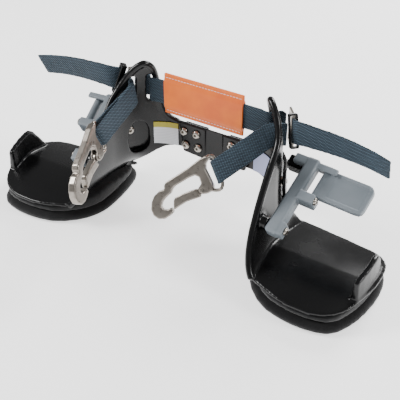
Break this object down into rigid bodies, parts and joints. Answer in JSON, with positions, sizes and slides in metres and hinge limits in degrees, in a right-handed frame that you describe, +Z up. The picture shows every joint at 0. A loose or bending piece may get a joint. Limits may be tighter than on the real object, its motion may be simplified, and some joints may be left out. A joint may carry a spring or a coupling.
{
  "type": "head and neck restraint",
  "caption": "Collar-type head and neck restraint with shoulder plates, webbing tether, snap hooks and two hinged latch arms.",
  "frame": {"origin": "middle of the footprint, on the plane the two foam pads rest on", "axes": "+Z up, the collar's opening towards -Y, the wearer's right-hand shell of the drawing at +X"},
  "size_m": [0.3624, 0.1466, 0.1374],
  "materials": {
    "black_nylon": "satin moulded nylon",
    "black_foam": "fabric-faced foam",
    "black_fabric": "matt",
    "navy_webbing": "woven",
    "orange_sleeve": "stitched coated fabric",
    "cast_steel": "tumbled casting",
    "grey_nylon": "satin moulded nylon",
    "printed_label": "blank film",
    "black_steel": "blacked steel",
    "screw_steel": "turned"
  },
  "bodies": {
    "frame": {"left_arm_pivot_screw": "screw_steel", "left_bridge_screw_1": "screw_steel", "left_bridge_screw_2": "screw_steel", "left_bridge_screw_3": "screw_steel", "left_bridge_screw_4": "screw_steel", "left_buckle": "screw_steel", "left_catch_screw": "screw_steel", "left_foam_lower": "black_foam", "left_foam_upper": "black_foam", "left_hook_strap": "navy_webbing", "left_keeper": "black_nylon", "left_label": "printed_label", "left_latch_catch": "black_nylon", "left_nut_plate": "black_steel", "left_pad_fastener": "black_fabric", "left_shell": "black_nylon", "left_tail": "navy_webbing", "rear_bridge": "black_nylon", "right_arm_pivot_screw": "screw_steel", "right_bridge_screw_1": "screw_steel", "right_bridge_screw_2": "screw_steel", "right_bridge_screw_3": "screw_steel", "right_bridge_screw_4": "screw_steel", "right_buckle": "screw_steel", "right_catch_screw": "screw_steel", "right_foam_lower": "black_foam", "right_foam_upper": "black_foam", "right_hook_strap": "navy_webbing", "right_keeper": "black_nylon", "right_label": "printed_label", "right_latch_catch": "black_nylon", "right_nut_plate": "black_steel", "right_pad_fastener": "black_fabric", "right_shell": "black_nylon", "right_tail": "navy_webbing", "tether_web": "navy_webbing"},
    "right_arm": {"right_latch_arm": "grey_nylon", "right_hinge_block_screw": "screw_steel", "right_paddle_pin": "screw_steel"},
    "right_paddle_body": {"right_paddle": "grey_nylon", "right_paddle_liner": "black_fabric"},
    "right_hook": {"right_hook_body": "cast_steel", "right_hook_gate_pin": "screw_steel"},
    "right_gate": {"right_hook_gate": "cast_steel", "right_hook_gate_spring": "screw_steel"},
    "left_arm": {"left_latch_arm": "grey_nylon", "left_hinge_block_screw": "screw_steel", "left_paddle_pin": "screw_steel"},
    "left_paddle_body": {"left_paddle": "grey_nylon", "left_paddle_liner": "black_fabric"},
    "left_hook": {"left_hook_body": "cast_steel", "left_hook_gate_pin": "screw_steel"},
    "left_gate": {"left_hook_gate": "cast_steel", "left_hook_gate_spring": "screw_steel"},
    "sleeve_body": {"sleeve": "orange_sleeve"}
  },
  "joints": [
    {"name": "sleeve_slide", "type": "slide", "parent": "frame", "child": "sleeve_body", "axis": [1, 0, 0], "range_m": [-0.006, 0.006]},
    {"name": "right_latch_lift", "type": "hinge", "parent": "frame", "child": "right_arm", "pos_m": [0.09572, -0.00314, 0.0548], "axis": [0.9945, -0.1045, 0], "range_deg": [0, 12]},
    {"name": "right_paddle_fold", "type": "hinge", "parent": "right_arm", "child": "right_paddle_body", "pos_m": [0.11331, 0.02787, 0.0702], "axis": [0.0905, 0.8613, 0.5], "range_deg": [0, 88]},
    {"name": "right_hook_swing", "type": "hinge", "parent": "frame", "child": "right_hook", "pos_m": [0.034, 0.01196, 0.078], "axis": [0.5733, -0.2278, -0.787], "range_deg": [-25, 25]},
    {"name": "right_gate_open", "type": "hinge", "parent": "right_hook", "child": "right_gate", "pos_m": [0.02579, 0.00204, 0.06199], "axis": [-0.2332, 0.8755, -0.4233], "range_deg": [0, 10], "stiffness_Nm_per_rad": 0.05, "springref_deg": -20.05},
    {"name": "left_latch_lift", "type": "hinge", "parent": "frame", "child": "left_arm", "pos_m": [-0.09572, -0.00314, 0.0548], "axis": [0.9945, 0.1045, 0], "range_deg": [0, 12]},
    {"name": "left_paddle_open", "type": "hinge", "parent": "left_arm", "child": "left_paddle_body", "pos_m": [-0.11331, 0.02787, 0.0702], "axis": [-0.0905, 0.8613, 0.5], "range_deg": [0, 88]},
    {"name": "left_hook_swing", "type": "hinge", "parent": "frame", "child": "left_hook", "pos_m": [-0.067, -0.01253, 0.0935], "axis": [0.1826, 0.2558, -0.9493], "range_deg": [-25, 8]},
    {"name": "left_gate_open", "type": "hinge", "parent": "left_hook", "child": "left_gate", "pos_m": [-0.06108, -0.02691, 0.08007], "axis": [-0.9565, -0.1773, -0.2317], "range_deg": [0, 10], "stiffness_Nm_per_rad": 0.05, "springref_deg": -20.05}
  ]
}
